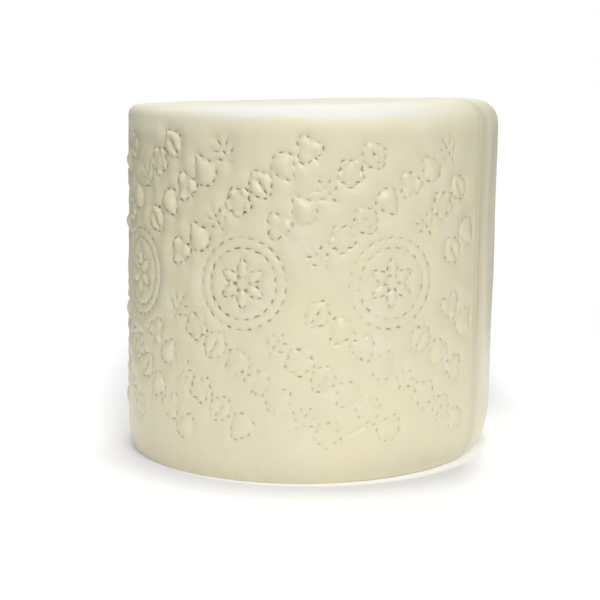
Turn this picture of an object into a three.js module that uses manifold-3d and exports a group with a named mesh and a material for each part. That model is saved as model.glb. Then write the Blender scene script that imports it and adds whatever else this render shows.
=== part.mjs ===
// A drum of hard white sheep's-milk cheese with a pressed rind, standing on its base.
// Millimetres, +Z up. The origin is the middle of the drum's box, on the floor.
// Angles round the drum start at the front (-Y) and grow towards the right (+X).
// The side is also measured flat: "across" is the arc length from the front at RADIUS,
// and "height" is the distance above the floor.
import * as THREE from 'three';
import { mergeVertices } from 'three/addons/utils/BufferGeometryUtils.js';
import Module from 'manifold-3d';

// The drum
const RADIUS = 150; // mean radius of the side
const HEIGHT = 279.5; // height on the axis
const TAPER = 0.005; // share by which the base is wider and the top narrower
const LEAN = 0.0174; // sideways drift to the right for each mm of height
const TOP_SLOPE = 0.0156; // rise of the top for each mm to the right
const RIM_ROUND = 14; // mean radius of the top edge
const RIM_SWING = 0.43; // share by which the top edge is rounder at the right, sharper at the left
const BASE_IN = 10.6; // how far the base edge draws in
const BASE_UP = 45; // height over which the base edge draws in
const BASE_SWING = 0.47; // share by which the base draws in more at the right
const FACETS = 60; // flat strips round the drum
const EDGE_STEPS = 4; // rows on each rounded edge
const SIDE_ROWS = [95, 150, 205]; // heights of the rows between the edges

// Soft hollows in the side: [degrees round, height, reach, depth]
const HOLLOWS = [
  [-57, 95, 40, 1.6],
  [-36, 205, 40, 1.2],
  [34, 95, 45, 1.3],
  [118, 205, 40, 1.5],
  [-128, 95, 45, 1.4],
  [176, 150, 45, 1.2],
];

// The closure of the mould: two upright lines with a plain band between them
const BAND_FROM = 58; // degrees round of its near line
const BAND_TO = 86; // degrees round of its far line
const LINE_WIDTH = 2.6;
const LINE_DEPTH = 0.9;

// The pressed marks
const MEDALLIONS = 7;
const MEDALLION_STEP = 43.7; // degrees from one medallion to the next
const FIRST_MEDALLION = 23.7; // degrees round of the one before the closure
const BELT_HEIGHT = 150; // height of the medallions' centres
const RING_RADII = [34, 26.5]; // the two dashed rings of a medallion
const RING_DASHES = [11, 7];
const ROSETTE_RADIUS = 19; // length of a rosette petal
const ROSETTE_PETALS = 6;
const ROW_SLOPE = 36; // degrees between a row of marks and the level
const MARK_PITCH = 21.8; // from one mark to the next in its row
const MARK_SIZE = 12; // half the height of a mark
const LOWEST_MARK = 70; // marks centred below this height are too faint to cut
const DASH_WIDTH = 3;
const DASH_DEPTH = 1.5;
const FADE = 0.45; // share of the depth that is lost towards the base

// Rows for each medallion: [across from its centre, height from its centre, marks, up or down]
const ROWS = [
  [57, 21, 7, 1],
  [27, 43, 5, 1],
  [57, -21, 8, -1],
  [27, -43, 6, -1],
];

const degrees = THREE.MathUtils.degToRad;

/** Radius of the plain drum at a height, with even edges. */
function plainRadius(height) {
  const intoBase = Math.max(0, 1 - height / BASE_UP);
  const intoRim = Math.max(0, 1 - (HEIGHT - height) / RIM_ROUND);
  const baseLoss = BASE_IN * (1 - Math.sqrt(1 - intoBase * intoBase));
  const rimLoss = RIM_ROUND * (1 - Math.sqrt(Math.max(0, 1 - intoRim * intoRim)));
  return RADIUS - baseLoss - rimLoss;
}

/** Depth of the soft hollows at a place on the side. */
function hollowDepth(angle, height) {
  let depth = 0;
  for (const [at, level, reach, deepest] of HOLLOWS) {
    const turn = Math.atan2(Math.sin(angle - degrees(at)), Math.cos(angle - degrees(at)));
    const distance = Math.hypot(turn * RADIUS, height - level) / reach;
    depth += deepest * Math.exp(-distance * distance);
  }
  return depth;
}

/** A point of the plain drum, moved to where the uneven drum has it. */
function unevenPoint(angle, radius, height) {
  if (radius < 1) return new THREE.Vector3(LEAN * height, 0, height);
  const right = Math.sin(angle);
  let r = radius;
  let z = height;
  if (height < BASE_UP) {
    r = RADIUS - (RADIUS - radius) * (1 + BASE_SWING * right);
  }
  if (height >= HEIGHT - RIM_ROUND) {
    const rounder = 1 + RIM_SWING * right;
    r = RADIUS - (RADIUS - radius) * rounder;
    z = HEIGHT - (HEIGHT - height) * rounder + TOP_SLOPE * r * right;
  }
  r *= 1 + TAPER * (1 - (2 * height) / HEIGHT);
  r -= hollowDepth(angle, height);
  return new THREE.Vector3(r * right + LEAN * z, -r * Math.cos(angle), z);
}

/** The outline that is turned round the axis, from the middle of the base to that of the top. */
function drumProfile() {
  const profile = [new THREE.Vector2(0, 0)];
  for (let i = 0; i <= EDGE_STEPS; i++) {
    const height = BASE_UP * (1 - Math.cos((Math.PI / 2) * (i / EDGE_STEPS)));
    profile.push(new THREE.Vector2(plainRadius(height), height));
  }
  for (const height of SIDE_ROWS) profile.push(new THREE.Vector2(RADIUS, height));
  for (let i = 0; i <= EDGE_STEPS; i++) {
    const height = HEIGHT - RIM_ROUND * (1 - Math.sin((Math.PI / 2) * (i / EDGE_STEPS)));
    profile.push(new THREE.Vector2(plainRadius(height), height));
  }
  profile.push(new THREE.Vector2(0, HEIGHT));
  return profile;
}

/** The drum without its marks. */
function drumGeometry() {
  const geometry = new THREE.LatheGeometry(drumProfile(), FACETS).rotateX(Math.PI / 2);
  const place = geometry.attributes.position;
  for (let i = 0; i < place.count; i++) {
    const angle = Math.atan2(place.getX(i), -place.getY(i));
    const radius = Math.hypot(place.getX(i), place.getY(i));
    const point = unevenPoint(angle, radius, place.getZ(i));
    place.setXYZ(i, point.x, point.y, point.z);
  }
  return geometry;
}

/** Position and axes of the side's surface at a place on it: along, up and out. */
function sideFrame(across, height) {
  const step = 0.5;
  const at = (a, h) => unevenPoint(a / RADIUS, plainRadius(h), h);
  const along = at(across + step, height).sub(at(across - step, height)).normalize();
  const up = at(across, height + step).sub(at(across, height - step)).normalize();
  const out = new THREE.Vector3().crossVectors(along, up).normalize();
  up.crossVectors(out, along);
  return new THREE.Matrix4().makeBasis(along, up, out).setPosition(at(across, height));
}

/** One dash: a pit with pointed ends, "turn" radians from the level. */
function dash(across, height, turn, length) {
  const fading = 1 - FADE * (1 - height / HEIGHT);
  const pit = new THREE.OctahedronGeometry(1);
  pit.scale(length / 2, DASH_WIDTH / 2, DASH_DEPTH * fading);
  pit.rotateZ(turn);
  return pit.applyMatrix4(sideFrame(across, height));
}

// A stroke is a curve in a mark's own frame, with the mark's half height as its unit.
const line = (x0, y0, x1, y1) => (t) => new THREE.Vector2(x0 + (x1 - x0) * t, y0 + (y1 - y0) * t);

const arc = (x, y, rx, ry, from, to) => (t) => {
  const a = degrees(from + (to - from) * t);
  return new THREE.Vector2(x + rx * Math.cos(a), y + ry * Math.sin(a));
};

const bowed = (bow) => (t) => new THREE.Vector2(bow * Math.sin(Math.PI * t), 2 * t - 1);

/** The petals of a flower, as arcs round its centre. */
function petals(count, distance, size) {
  return Array.from({ length: count }, (_, i) => {
    const heading = 90 + (360 / count) * i;
    const x = distance * Math.cos(degrees(heading));
    const y = distance * Math.sin(degrees(heading));
    return arc(x, y, size, size, heading - 70, heading + 70);
  });
}

/** One side of an acorn's nut. */
const nutSide = (side) => (t) => {
  return new THREE.Vector2(side * 0.68 * Math.cos((Math.PI / 2) * t), 0.15 - 1.15 * t);
};

const LEAF = [bowed(0.78), bowed(-0.78), line(0, -0.8, 0, 0.35)];
const BLOSSOM = petals(5, 0.5, 0.42);
const SPRIG = [line(0, -1, 0, 0.9), line(0.16, -0.4, 0.86, 0.2), line(-0.16, -0.4, -0.86, 0.2)];
const DROP = [arc(0, -0.22, 0.8, 0.78, -160, -20), line(0.78, -0.1, 0.05, 1), line(-0.78, -0.1, -0.05, 1)];
const CLOVER = petals(3, 0.5, 0.42);
const ACORN = [arc(0, 0.15, 0.84, 0.72, 165, 15), nutSide(1), nutSide(-1)];
const MARKS = [LEAF, BLOSSOM, SPRIG, DROP, CLOVER, ACORN];

/** The dash that stands for one stroke of a mark. */
function strokeDash(stroke, across, height, turn) {
  const start = stroke(0.12);
  const end = stroke(0.88);
  const middle = stroke(0.5);
  const chord = end.clone().sub(start);
  const heading = turn + Math.atan2(chord.y, chord.x);
  const centre = middle.multiplyScalar(MARK_SIZE).rotateAround(new THREE.Vector2(), turn);
  const length = chord.length() * MARK_SIZE;
  return dash(across + centre.x, height + centre.y, heading, length);
}

/** The marks of one row, which climbs or falls to the right. */
function rowOfMarks(medallionAcross, [offset, rise, count, way], rowNumber) {
  const turn = degrees(ROW_SLOPE) * way;
  const dashes = [];
  for (let i = 0; i < count; i++) {
    const across = medallionAcross + offset + i * MARK_PITCH * Math.cos(turn);
    const height = BELT_HEIGHT + rise + i * MARK_PITCH * Math.sin(turn);
    if (!clearOfBand(across) || height < LOWEST_MARK) continue;
    const mark = MARKS[(MARKS.length + i * 5 + rowNumber * 2) % MARKS.length];
    for (const stroke of mark) dashes.push(strokeDash(stroke, across, height, turn));
  }
  return dashes;
}

/** Whether a mark centred there keeps off the plain band of the closure. */
function clearOfBand(across) {
  const round = 2 * Math.PI * RADIUS;
  const from = degrees(BAND_FROM) * RADIUS - MARK_SIZE;
  const to = degrees(BAND_TO) * RADIUS + MARK_SIZE;
  const place = ((across % round) + round) % round;
  return place < from || place > to;
}

/** A medallion: two dashed rings round a rosette drawn with compasses. */
function medallion(across) {
  const dashes = [];
  RING_RADII.forEach((radius, ring) => {
    const count = RING_DASHES[ring];
    for (let i = 0; i < count; i++) {
      const a = (2 * Math.PI * (i + 0.5 * ring)) / count;
      const length = ((2 * Math.PI * radius) / count) * 0.62;
      const x = across + radius * Math.cos(a);
      const y = BELT_HEIGHT + radius * Math.sin(a);
      dashes.push(dash(x, y, a + Math.PI / 2, length));
    }
  });
  for (let i = 0; i < ROSETTE_PETALS; i++) {
    const a = (2 * Math.PI * (i + 0.5)) / ROSETTE_PETALS;
    const x = across + 0.55 * ROSETTE_RADIUS * Math.cos(a);
    const y = BELT_HEIGHT + 0.55 * ROSETTE_RADIUS * Math.sin(a);
    dashes.push(dash(x, y, a, 0.7 * ROSETTE_RADIUS));
  }
  return dashes;
}

/** An upright line of the closure, as a long blade that cuts a groove. */
function closureLine(angle) {
  const across = degrees(angle) * RADIUS;
  const blade = new THREE.OctahedronGeometry(1);
  blade.scale(LINE_WIDTH / 2, HEIGHT, LINE_DEPTH);
  return blade.applyMatrix4(sideFrame(across, BELT_HEIGHT));
}

/** Every cutter that presses the rind. */
function pressings() {
  const cutters = [];
  for (let i = -1; i < MEDALLIONS; i++) {
    const across = degrees(FIRST_MEDALLION - i * MEDALLION_STEP) * RADIUS;
    // The closure lies where the medallion before the first would be.
    if (i >= 0) cutters.push(...medallion(across));
    ROWS.forEach((row, number) => cutters.push(...rowOfMarks(across, row, number + i)));
  }
  cutters.push(closureLine(BAND_FROM), closureLine(BAND_TO));
  return cutters;
}

const wasm = await Module();
wasm.setup();

/** A solid for cutting, from a closed geometry. */
function solid(geometry) {
  geometry.deleteAttribute('normal');
  geometry.deleteAttribute('uv');
  const merged = mergeVertices(geometry, 1e-3);
  const mesh = new wasm.Mesh({
    numProp: 3,
    vertProperties: merged.attributes.position.array,
    triVerts: new Uint32Array(merged.index.array),
  });
  return new wasm.Manifold(mesh);
}

/** The geometry of a solid after cutting. */
function geometryOf(body) {
  const mesh = body.getMesh();
  const geometry = new THREE.BufferGeometry();
  geometry.setAttribute('position', new THREE.BufferAttribute(mesh.vertProperties, 3));
  geometry.setIndex(new THREE.BufferAttribute(mesh.triVerts, 1));
  return geometry;
}

/** Moves a geometry so that its box stands on the floor with its middle on the axis. */
function centreOnFloor(geometry) {
  geometry.computeBoundingBox();
  const box = geometry.boundingBox;
  const middle = box.getCenter(new THREE.Vector3());
  return geometry.translate(-middle.x, -middle.y, -box.min.z);
}

const plainDrum = solid(drumGeometry());
const pressedDrum = plainDrum.subtract(wasm.Manifold.union(pressings().map(solid)));

const rind = new THREE.MeshStandardMaterial({ color: 0xe2dcc0, roughness: 0.45, metalness: 0 });
const drum = new THREE.Mesh(centreOnFloor(geometryOf(pressedDrum)), rind);
drum.name = 'cheese_drum';
drum.geometry.computeVertexNormals();

const cheese = new THREE.Group();
cheese.add(drum);

export default cheese;
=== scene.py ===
"""A whole drum of hard white cheese: its rind, its pressed ornaments, the light and the camera.

Sizes of the drum are in millimetres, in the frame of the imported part: +Z up, the front
at -Y and the origin in the middle of the drum's box, on the floor. Meshes, lamps and the
camera are made in metres. Angles round the drum start at the front and grow towards +X.
"""

import logging
import math
import random
from dataclasses import dataclass, field
from enum import Enum
from functools import cached_property

import bpy
import numpy as np
from mathutils import Euler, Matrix, Vector, kdtree, noise
from mathutils.geometry import delaunay_2d_cdt

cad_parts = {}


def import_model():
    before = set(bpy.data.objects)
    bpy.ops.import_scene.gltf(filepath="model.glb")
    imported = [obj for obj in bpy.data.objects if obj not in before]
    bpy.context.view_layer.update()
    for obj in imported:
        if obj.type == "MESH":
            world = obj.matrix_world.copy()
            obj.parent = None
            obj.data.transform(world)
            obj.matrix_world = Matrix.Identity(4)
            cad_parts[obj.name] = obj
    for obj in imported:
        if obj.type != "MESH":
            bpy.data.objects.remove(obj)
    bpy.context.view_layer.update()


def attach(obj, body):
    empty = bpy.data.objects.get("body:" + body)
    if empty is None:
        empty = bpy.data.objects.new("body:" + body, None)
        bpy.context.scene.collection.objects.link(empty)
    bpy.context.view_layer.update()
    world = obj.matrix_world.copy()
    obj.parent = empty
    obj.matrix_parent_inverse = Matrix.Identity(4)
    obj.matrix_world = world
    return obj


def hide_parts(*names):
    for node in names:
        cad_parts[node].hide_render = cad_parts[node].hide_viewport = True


MM = 0.001
NODE = "cheese_drum"
Array = np.ndarray
Number = float | int
Span = tuple[float, float]
Triple = tuple[float, float, float]
Colour = tuple[float, float, float, float]

TINY = 1e-9  # keeps divisions away from zero
SAME_POINT = 1e-5  # mesh points closer than this count as one
ROW_PITCH = 0.866  # from row to row of an even triangle grid, for columns one apart
WIDE_LAYER, FINE_LAYER = 3.0, 9.0  # where the wide and the fine streaks lie in the noise

log = logging.getLogger("cheese")


def smoothstep(low: float, high: float, value: Array) -> Array:
    """Rises smoothly from 0 at low to 1 at high."""
    share = np.clip((value - low) / (high - low), 0.0, 1.0)
    return share * share * (3.0 - 2.0 * share)


def turned(points: Array, angle: float) -> Array:
    """Points of a plane, turned about its origin by an angle in radians."""
    c, s = math.cos(angle), math.sin(angle)
    return points @ np.array([[c, s], [-s, c]])


def apart(angle: Array, other: float) -> Array:
    """The signed difference of two angles, between minus and plus half a turn."""
    return (angle - other + math.pi) % (2 * math.pi) - math.pi


def travelled(path: Array) -> Array:
    """The distance along a path at each of its points."""
    return np.concatenate([[0.0], np.cumsum(np.linalg.norm(np.diff(path, axis=0), axis=1))])


def place_on(path: Array, at: Array | float) -> Array:
    """The places at given distances along a path in a plane."""
    travel = travelled(path)
    return np.stack([np.interp(at, travel, path[:, k]) for k in (0, 1)], axis=-1)


def grid_points(columns: Array, rows: Array, stagger: float = 0.0) -> Array:
    """The crossings of columns and rows in a plane.

    Args:
        columns: where the columns lie.
        rows: where the rows lie.
        stagger: how far every other row is moved along.

    Returns:
        One row of two coordinates for each crossing.
    """
    x, y = np.meshgrid(columns, rows)
    x = x + stagger * (np.arange(len(rows)) % 2)[:, None]
    return np.stack([x.ravel(), y.ravel()], axis=1)


# Finishes -------------------------------------------------------------------------------


class Value:
    """A shader value that takes part in ordinary arithmetic."""

    def __init__(self, sheet: "ShaderSheet", socket: bpy.types.NodeSocket | None) -> None:
        """Wraps one output socket of a sheet's node."""
        self.sheet = sheet
        self.socket = socket

    def _math(self, operation: str, first: "Value | Number", second: "Value | Number") -> "Value":
        """One Math node on two values."""
        return self.sheet.node("ShaderNodeMath", {"operation": operation}, {0: first, 1: second})

    def __add__(self, other: "Value | Number") -> "Value":
        """self + other."""
        return self._math("ADD", self, other)

    __radd__ = __add__

    def __sub__(self, other: "Value | Number") -> "Value":
        """self - other."""
        return self._math("SUBTRACT", self, other)

    def __rsub__(self, other: "Value | Number") -> "Value":
        """other - self."""
        return self._math("SUBTRACT", other, self)

    def __mul__(self, other: "Value | Number") -> "Value":
        """self * other."""
        return self._math("MULTIPLY", self, other)

    __rmul__ = __mul__


class ShaderSheet:
    """The node tree of a material or a sky, written as calls and expressions."""

    def __init__(self, owner: bpy.types.Material | bpy.types.World) -> None:
        """Clears the node tree of a new material or sky.

        Args:
            owner: the material or the sky.
        """
        self.owner = owner
        owner.use_nodes = True
        self.tree = owner.node_tree
        self.tree.nodes.clear()

    def node(
        self,
        kind: str,
        settings: dict[str, object] | None = None,
        inputs: "dict[str | int, Value | object] | None" = None,
        output: str | int | None = 0,
    ) -> Value:
        """Makes one node.

        Args:
            kind: the node's Blender type.
            settings: its properties, set first.
            inputs: a value or another node's output for each named or numbered socket.
            output: the name or number of the socket to give back, or None if it has none.

        Returns:
            The chosen output as a value.
        """
        made = self.tree.nodes.new(kind)
        for key, value in (settings or {}).items():
            setattr(made, key, value)
        for key, value in (inputs or {}).items():
            if isinstance(value, Value):
                self.tree.links.new(value.socket, made.inputs[key])
            else:
                made.inputs[key].default_value = value
        return Value(self, None if output is None else made.outputs[output])

    def noise(self, where: Value, grain: "Grain") -> Value:
        """Soft noise.

        Args:
            where: the place.
            grain: the look of the noise.

        Returns:
            A value of about 0.5, less or more.
        """
        scale = 1 / (grain.size * MM)
        inputs = {"Vector": where, "Scale": scale, "Detail": grain.detail, "Roughness": grain.rough}
        return self.node("ShaderNodeTexNoise", {}, inputs, "Fac")

    def stretched(self, where: Value, scale: Triple) -> Value:
        """A place scaled differently along each axis."""
        inputs = {"Vector": where, "Scale": scale}
        return self.node("ShaderNodeMapping", {}, inputs, "Vector")

    def along(self, where: Value, axis: str) -> Value:
        """How far a place lies along the X, Y or Z axis, in metres."""
        return self.node("ShaderNodeSeparateXYZ", {}, {"Vector": where}, axis)

    def step(self, value: Value, low: float, high: float) -> Value:
        """Rises smoothly from 0 at low to 1 at high."""
        inputs = {"Value": value, "From Min": low, "From Max": high}
        return self.node("ShaderNodeMapRange", {"interpolation_type": "SMOOTHSTEP"}, inputs, "Result")

    def distance(self, where: Value, other: Triple) -> Value:
        """The distance of a place from another, in metres."""
        inputs = {0: where, 1: other}
        return self.node("ShaderNodeVectorMath", {"operation": "DISTANCE"}, inputs, "Value")

    def mix(self, factor: Value, first: object, second: object) -> Value:
        """A colour between two others."""
        return self.node("ShaderNodeMix", {"data_type": "RGBA"}, {0: factor, 6: first, 7: second}, 2)

    def mask(self, name: str) -> Value:
        """A number stored on the mesh's points."""
        return self.node("ShaderNodeAttribute", {"attribute_name": name}, {}, "Fac")

    def finish(self, shader: Value) -> bpy.types.Material | bpy.types.World:
        """Joins a shader to the surface of the material or the sky.

        Args:
            shader: the shader.

        Returns:
            The finished material or sky.
        """
        kind = "World" if isinstance(self.owner, bpy.types.World) else "Material"
        self.node("ShaderNodeOutput" + kind, {}, {"Surface": shader}, None)
        return self.owner


@dataclass(frozen=True)
class Grain:
    """The look of a noise pattern.

    Args:
        size: the size of its lumps in millimetres.
        detail: how many finer layers it has.
        rough: how strong those are.
    """

    size: float
    detail: float = 3.0
    rough: float = 0.5


@dataclass(frozen=True)
class Blend:
    """How a pattern brings in a second colour.

    Args:
        low: the pattern's value up to which nothing of it shows.
        high: the pattern's value from which it shows its most.
        share: how much of it shows there.
    """

    low: float
    high: float
    share: float = 1.0

    def of(self, pattern: Value) -> Value:
        """How much of the second colour shows, for each value of the pattern."""
        risen = pattern.sheet.step(pattern, self.low, self.high)
        return risen if self.share == 1.0 else risen * self.share


@dataclass(frozen=True)
class RindFinish:
    """The waxy ivory rind, with painted shade at the bottom of every dash.

    Heights, places and distances are in metres here, as a material sees them.

    Args:
        ivory: its main colour.
        cream: the warmer colour of its broad patches.
        pale: the colour of its pale clouds.
        shade: a darker tone for its streaks, flecks and seam, and painted shade in its grooves.
        bloom_and_highlight: the paler rind of the upper edge and the top with painted highlight in it,
            also used for the closure's painted sheen.
        painted_highlight: the colour of the painted highlight on the front of the top.
        painted_dash_shade: the painted shade at the bottom of a dash.
        broad: the pattern of its broad patches.
        cloud: the pattern of its clouds.
        fleck: the pattern of its flecks.
        streak: the pattern of its streaks, before they are stretched.
        stretch: the stretch of the streaks along X, Y and Z, as a scale of the pattern.
        grain: the finest pattern in its surface.
        wax: the pattern of the wax on it.
        cream_blend: where the cream shows in the broad patches.
        pale_blend: where the pale colour shows in the clouds.
        streak_blend: where the shade shows in the streaks.
        fleck_blend: where it shows in the flecks.
        upper_blend: the heights over which the side turns to the paler rind and painted highlight of its
            upper edge.
        left_blend: the same at the left, where the painted highlight starts lower.
        left_span: X between which the left gives way to the rest.
        top_blend: the heights over which the side turns to the top.
        top_clouds: where the pale colour shows in the clouds of the top.
        height_sway: how far the clouds move these heights.
        highlight_middle: the middle of the painted highlight on the top.
        highlight_reach: the distances from it between which the painted highlight fades out.
        highlight_sway: how far the broad pattern moves these distances.
        groove_shade: how much painted shade darkens the grooves.
        seam_shade: how dark the seam at the closure's lines is.
        sheen_blend: where the closure's streaks have more of the painted sheen.
        sheen_least: how much of the painted sheen is everywhere between its lines.
        painted_dash_shade_blend: where the painted shade at the bottom of a dash shows.
        grain_height: the height of the finest pattern, for a height of 1 of the bumps.
        wax_height: the height of the wax.
        streak_height: the height of the streaks.
        bump_strength: how much of the bumps shows.
        bump_height: the height of the bumps in metres.
        roughness: its least roughness.
        cloud_roughness: what the clouds add to that.
        pit_roughness: what the dashes add.
        groove_polish: what the grooves take away.
        dull_blend: the heights over which the upper edge turns dull.
        dull_roughness: what the roughness gains there.
        dull_coat: the share that the coat loses there.
        coat: the weight of its glossy coat.
        coat_roughness: the coat's roughness.
        bending: how strongly it bends light.
        translucency: how much light goes in.
        scatter: how far that goes in red, green and blue, for a depth of 1.
        scatter_depth: that depth in metres.
    """

    ivory: Colour = (0.80, 0.745, 0.53, 1.0)
    cream: Colour = (0.83, 0.765, 0.53, 1.0)
    pale: Colour = (0.84, 0.81, 0.66, 1.0)
    shade: Colour = (0.69, 0.65, 0.47, 1.0)
    bloom_and_highlight: Colour = (0.94, 0.90, 0.69, 1.0)
    painted_highlight: Colour = (0.91, 0.895, 0.83, 1.0)
    painted_dash_shade: Colour = (0.30, 0.27, 0.14, 1.0)
    broad: Grain = Grain(75.0)
    cloud: Grain = Grain(22.0, 4.0, 0.6)
    fleck: Grain = Grain(3.2, 3.0, 0.6)
    streak: Grain = Grain(9.0)
    stretch: Triple = (1.0, 1.0, 0.08)
    grain: Grain = Grain(0.9, 2.0)
    wax: Grain = Grain(6.5)
    cream_blend: Blend = Blend(0.38, 0.64)
    pale_blend: Blend = Blend(0.48, 0.75, 0.55)
    streak_blend: Blend = Blend(0.5, 0.78, 0.16)
    fleck_blend: Blend = Blend(0.6, 0.8, 0.25)
    upper_blend: Blend = Blend(0.258, 0.272, 0.6)
    left_blend: Blend = Blend(0.253, 0.266)
    left_span: Blend = Blend(-0.145, -0.06)
    top_blend: Blend = Blend(0.2705, 0.2745)
    top_clouds: Blend = Blend(0.45, 0.70, 0.35)
    height_sway: float = 0.004
    highlight_middle: Triple = (0.0, -0.13, 0.278)
    highlight_reach: Blend = Blend(0.06, 0.14)
    highlight_sway: float = 0.04
    groove_shade: float = 0.12
    seam_shade: float = 0.5
    sheen_blend: Blend = Blend(0.40, 0.60, 0.55)
    sheen_least: float = 0.45
    painted_dash_shade_blend: Blend = Blend(0.1, 0.9, 0.85)
    grain_height: float = 0.10
    wax_height: float = 0.5
    streak_height: float = 0.12
    bump_strength: float = 0.55
    bump_height: float = 0.0006
    roughness: float = 0.40
    cloud_roughness: float = 0.16
    pit_roughness: float = 0.25
    groove_polish: float = 0.05
    dull_blend: Blend = Blend(0.255, 0.268)
    dull_roughness: float = 0.12
    dull_coat: float = 0.8
    coat: float = 0.33
    coat_roughness: float = 0.28
    bending: float = 1.45
    translucency: float = 0.15
    scatter: Triple = (1.0, 0.75, 0.45)
    scatter_depth: float = 0.003

    def material(self) -> bpy.types.Material:
        """Builds the rind's node material.

        Returns:
            The material.
        """
        sheet = ShaderSheet(bpy.data.materials.new("waxy_ivory_rind"))
        place = sheet.node("ShaderNodeTexCoord", {}, {}, "Object")
        broad = sheet.noise(place, self.broad)
        cloud = sheet.noise(place, self.cloud)
        fleck = sheet.noise(place, self.fleck)
        streak = sheet.noise(sheet.stretched(place, self.stretch), self.streak)
        pit = sheet.mask("pit")
        groove = sheet.mask("groove")
        high = sheet.along(place, "Z") + cloud * self.height_sway

        body = sheet.mix(self.cream_blend.of(broad), self.ivory, self.cream)
        body = sheet.mix(self.pale_blend.of(cloud), body, self.pale)
        body = sheet.mix(self.streak_blend.of(streak), body, self.shade)
        body = sheet.mix(self.fleck_blend.of(fleck), body, self.shade)
        # The upper edge turns to the paler rind with painted highlight in it; at the left this starts
        # lower.
        body = sheet.mix(self.upper_blend.of(high), body, self.bloom_and_highlight)
        left = 1 - self.left_span.of(sheet.along(place, "X"))
        body = sheet.mix(self.left_blend.of(high) * left, body, self.bloom_and_highlight)

        # A painted highlight on the front of the top, over the paler top with its clouds.
        away = sheet.distance(place, self.highlight_middle) + broad * self.highlight_sway
        highlight_share = 1 - self.highlight_reach.of(away)
        top = sheet.mix(self.top_clouds.of(cloud), self.bloom_and_highlight, self.pale)
        top = sheet.mix(highlight_share, top, self.painted_highlight)
        body = sheet.mix(self.top_blend.of(high), body, top)

        # Painted shade along the grooves.
        body = sheet.mix(groove * self.groove_shade, body, self.shade)
        body = sheet.mix(sheet.mask("seam") * self.seam_shade, body, self.shade)
        # Painted sheen between the closure's lines, lighter in upright streaks.
        sheen_share = sheet.mask("painted_sheen") * (self.sheen_least + self.sheen_blend.of(streak))
        body = sheet.mix(sheen_share, body, self.bloom_and_highlight)
        # Painted shade at the bottom of each dash, darker where the dash is deeper.
        body = sheet.mix(self.painted_dash_shade_blend.of(pit), body, self.painted_dash_shade)

        grain = sheet.noise(place, self.grain) * self.grain_height
        wax = sheet.noise(place, self.wax) * self.wax_height
        bumps = {
            "Strength": self.bump_strength,
            "Distance": self.bump_height,
            "Height": grain + wax + streak * self.streak_height,
        }
        rough = self.roughness + cloud * self.cloud_roughness + pit * self.pit_roughness
        dull = self.dull_blend.of(high)
        inputs = {
            "Base Color": body,
            "Roughness": rough - groove * self.groove_polish + dull * self.dull_roughness,
            "Normal": sheet.node("ShaderNodeBump", {}, bumps, "Normal"),
            "IOR": self.bending,
            "Coat Weight": self.coat * (1 - dull * self.dull_coat),
            "Coat Roughness": self.coat_roughness,
            "Subsurface Weight": self.translucency,
            "Subsurface Radius": self.scatter,
            "Subsurface Scale": self.scatter_depth,
        }
        return sheet.finish(sheet.node("ShaderNodeBsdfPrincipled", {}, inputs, "BSDF"))


@dataclass(frozen=True)
class FloorFinish:
    """White paper with a painted glow, which leaves a painted shadow round the drum.

    The painted glow is weakest close to the drum, so that a painted shadow lies there
    and reaches back behind it.

    Args:
        middle: the middle of the drum's foot.
        white: the paper's own colour.
        near_front: the painted glow close to the drum's front, kept low for a painted shadow.
        far_front: the glow further in front.
        near_back: the painted glow in the painted shadow that reaches back beside the drum.
        far_back: the glow further behind.
        right: the painted glow on the right, where the painted shadow is faint.
        contact: the painted glow right at the drum's foot, which lightens the shade there.
        front_reach: distances from the drum between which the front's glow rises.
        back_reach: distances from the drum's shadow between which the back's glow rises.
        back_span: Y between which the front gives way to the back.
        right_span: X between which the right side's glow sets in.
        right_end: Y between which the right side's glow ends.
        contact_reach: distances between which the glow at the foot fades.
        roughness: the paper's roughness.
    """

    middle: Triple = (0.0, 0.0, 0.0)
    white: Colour = (0.90, 0.90, 0.90, 1.0)
    near_front: Colour = (0.0, 0.0, 0.03, 1.0)
    far_front: Colour = (0.26, 0.26, 0.27, 1.0)
    near_back: Colour = (0.14, 0.14, 0.16, 1.0)
    far_back: Colour = (0.42, 0.42, 0.42, 1.0)
    right: Colour = (0.34, 0.34, 0.35, 1.0)
    contact: Colour = (0.22, 0.22, 0.23, 1.0)
    front_reach: Blend = Blend(0.148, 0.196)
    back_reach: Blend = Blend(0.150, 0.225)
    back_span: Blend = Blend(-0.07, 0.03)
    right_span: Blend = Blend(0.105, 0.150)
    right_end: Blend = Blend(0.03, 0.15)
    contact_reach: Blend = Blend(0.144, 0.150)
    roughness: float = 0.95

    def material(self) -> bpy.types.Material:
        """Builds the paper's node material.

        Returns:
            The material.
        """
        sheet = ShaderSheet(bpy.data.materials.new("painted_glow_paper"))
        place = sheet.node("ShaderNodeTexCoord", {}, {}, "Object")
        x, y = sheet.along(place, "X"), sheet.along(place, "Y")
        # The emission paints a glow on the paper, kept low close to the drum as a painted shadow and
        # raised at its foot.
        ahead = sheet.node("ShaderNodeMath", {"operation": "MINIMUM"}, {0: y, 1: 0.0})
        swept = sheet.node("ShaderNodeCombineXYZ", {}, {"X": x, "Y": ahead})
        beside = sheet.distance(swept, self.middle)
        front = sheet.mix(self.front_reach.of(beside), self.near_front, self.far_front)
        back = sheet.mix(self.back_reach.of(beside), self.near_back, self.far_back)
        glow = sheet.mix(self.back_span.of(y), front, back)
        rightness = self.right_span.of(x) * (1 - self.right_end.of(y))
        glow = sheet.mix(rightness, glow, self.right)
        foot = self.contact_reach.of(sheet.distance(place, self.middle))
        inputs = {
            "Base Color": self.white,
            "Roughness": self.roughness,
            "Emission Color": sheet.mix(foot, self.contact, glow),
            "Emission Strength": 1.0,
        }
        return sheet.finish(sheet.node("ShaderNodeBsdfPrincipled", {}, inputs, "BSDF"))


# The drum's form ------------------------------------------------------------------------


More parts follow.
